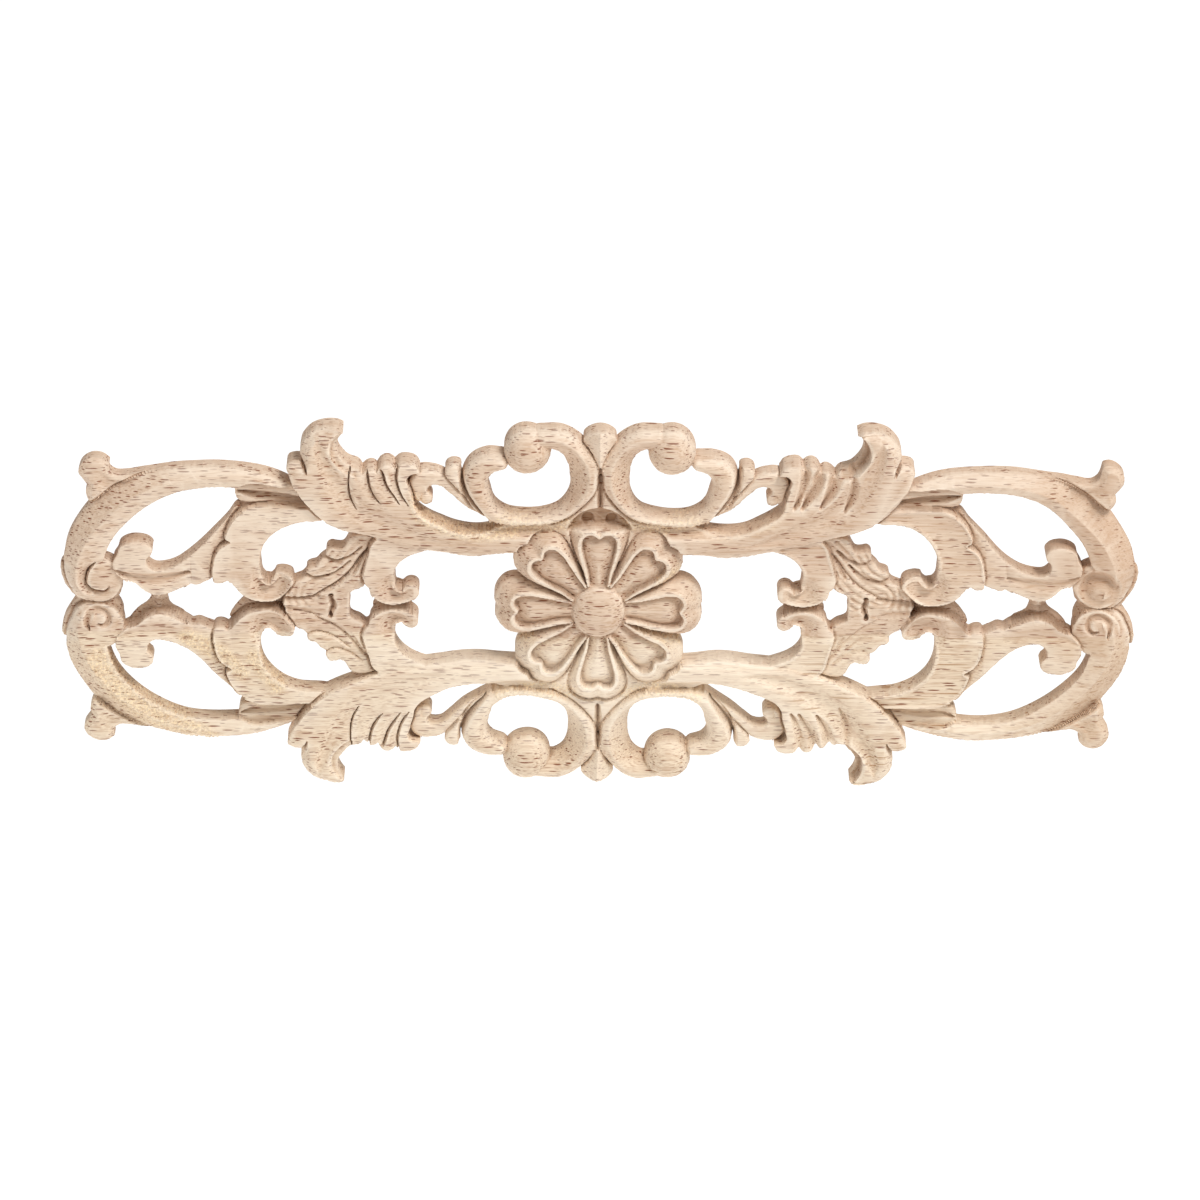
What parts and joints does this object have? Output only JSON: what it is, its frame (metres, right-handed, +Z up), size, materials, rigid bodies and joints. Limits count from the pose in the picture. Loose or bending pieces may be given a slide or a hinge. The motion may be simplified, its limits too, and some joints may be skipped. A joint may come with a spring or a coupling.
{
  "type": "carved wood applique",
  "caption": "Openwork carved wood onlay with a petalled rosette, leaf scrolls and framing bands, to glue or pin flat on furniture, doors or walls.",
  "frame": {"origin": "middle of the flat back face, behind the centre of the rosette", "axes": "+X along the length, +Z up across the width, +Y into the surface that it is fixed to, so the carving faces -Y"},
  "size_m": [0.3502, 0.0149, 0.1256],
  "materials": {
    "carved_wood": "unfinished, sanded, with open brown pores"
  },
  "bodies": {
    "root": {"carved_applique": "carved_wood"}
  },
  "joints": []
}
